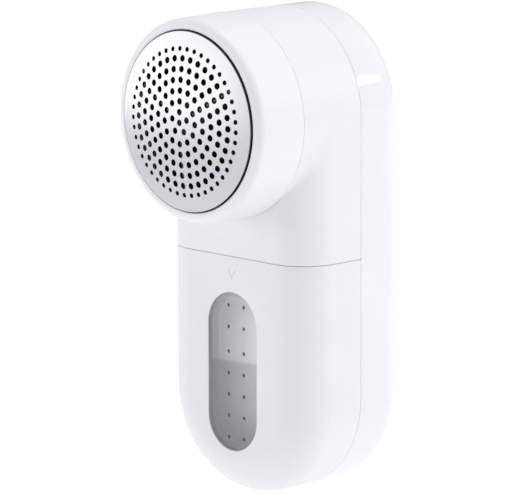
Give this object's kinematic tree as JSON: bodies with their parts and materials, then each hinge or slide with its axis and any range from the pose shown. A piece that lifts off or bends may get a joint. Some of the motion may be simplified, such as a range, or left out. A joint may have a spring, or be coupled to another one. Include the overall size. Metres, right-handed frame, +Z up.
{
  "type": "fabric shaver",
  "caption": "Handheld fabric shaver with a round perforated foil head over spinning blades, a windowed slide-off lint bin and a rounded slab body.",
  "frame": {"origin": "under the middle of the whole object's box, at the height of the rounded foot", "axes": "+Z up the handle to the head, the foil faces -Y, the back rests on +Y, X runs across"},
  "size_m": [0.0602, 0.0626, 0.1435],
  "materials": {
    "housing_white": "satin",
    "cover_white": "gloss",
    "ring_white": "satin",
    "foil_steel": "punched and polished",
    "blade_steel": "ground",
    "window_clear": "polished clear plastic",
    "panel_grey": "fine texture",
    "inner_grey": "fine texture",
    "seal_rubber": "matte",
    "spring_steel": "drawn wire",
    "shaft_steel": "ground",
    "core_steel": "laminated",
    "motor_steel": "zinc plated",
    "magnet_dark": "ground ferrite",
    "motor_plastic": "moulded",
    "bush_brass": "sintered",
    "contact_brass": "stamped",
    "screw_steel": "black zinc",
    "cell_wrap": "shrink film",
    "cell_tab": "nickel strip",
    "foam_grey": "soft foam",
    "board_green": "solder mask",
    "switch_black": "moulded",
    "led_clear": "moulded",
    "pipe_clear": "moulded",
    "socket_steel": "nickel plated",
    "tongue_black": "moulded",
    "button_grey": "satin",
    "wire_red": "soft insulation"
  },
  "bodies": {
    "body": {"upper_housing": "housing_white", "blade_chamber": "housing_white", "back_cover": "cover_white", "motor_can": "motor_steel", "motor_end_cap": "motor_plastic", "motor_bearings": "bush_brass", "motor_magnets": "magnet_dark", "motor_damper": "seal_rubber", "motor_screws": "screw_steel", "motor_terminals": "contact_brass", "bin_gasket": "seal_rubber", "inner_frame": "inner_grey", "battery_cell": "cell_wrap", "battery_tabs": "cell_tab", "battery_foam": "foam_grey", "control_board": "board_green", "board_switch": "switch_black", "indicator_led": "led_clear", "light_pipe": "pipe_clear", "charge_board": "board_green", "charge_socket": "socket_steel", "charge_tongue": "tongue_black", "motor_leads": "wire_red", "battery_leads": "wire_red", "charge_leads": "wire_red", "case_screws": "screw_steel", "chamber_screws": "screw_steel"},
    "foil_set": {"foil": "foil_steel", "foil_frame": "ring_white"},
    "foil_ring": {"foil_ring": "ring_white"},
    "lint_bin": {"lint_bin": "housing_white", "bin_window": "window_clear", "bin_filter_panel": "panel_grey"},
    "rotor": {"motor_shaft": "shaft_steel", "motor_armature": "core_steel", "drive_coupler": "inner_grey", "blade_spring": "spring_steel"},
    "blade_head": {"blade_hub": "inner_grey", "blades": "blade_steel"},
    "power_button": {"power_button": "button_grey"},
    "switch_plunger": {"switch_plunger": "switch_black"}
  },
  "joints": [
    {"name": "foil_lift_off", "type": "slide", "parent": "body", "child": "foil_set", "axis": [0, -1, 0], "range_m": [0, 0.03]},
    {"name": "ring_twist", "type": "hinge", "parent": "foil_set", "child": "foil_ring", "pos_m": [0, -0.01841, 0.11342], "axis": [0, 1, 0], "range_deg": [0, 25]},
    {"name": "bin_slide", "type": "slide", "parent": "body", "child": "lint_bin", "axis": [0, 0, -1], "range_m": [0, 0.075]},
    {"name": "rotor_spin", "type": "hinge", "parent": "body", "child": "rotor", "pos_m": [0, -0.01041, 0.11342], "axis": [0, 1, 0], "continuous": true},
    {"name": "blade_float", "type": "slide", "parent": "rotor", "child": "blade_head", "axis": [0, 1, 0], "range_m": [0, 0.001], "stiffness_N_per_m": 400, "springref_m": -0.0005, "deforming": ["blade_spring"]},
    {"name": "button_press", "type": "slide", "parent": "body", "child": "power_button", "axis": [0, -1, 0], "range_m": [0, 0.0005], "stiffness_N_per_m": 1500, "springref_m": -0.0002},
    {"name": "plunger_press", "type": "slide", "parent": "body", "child": "switch_plunger", "axis": [0, -1, 0], "range_m": [0, 0.0005]}
  ],
  "couplings": [
    {"joint": "plunger_press", "follows": "button_press", "ratio": 1}
  ]
}
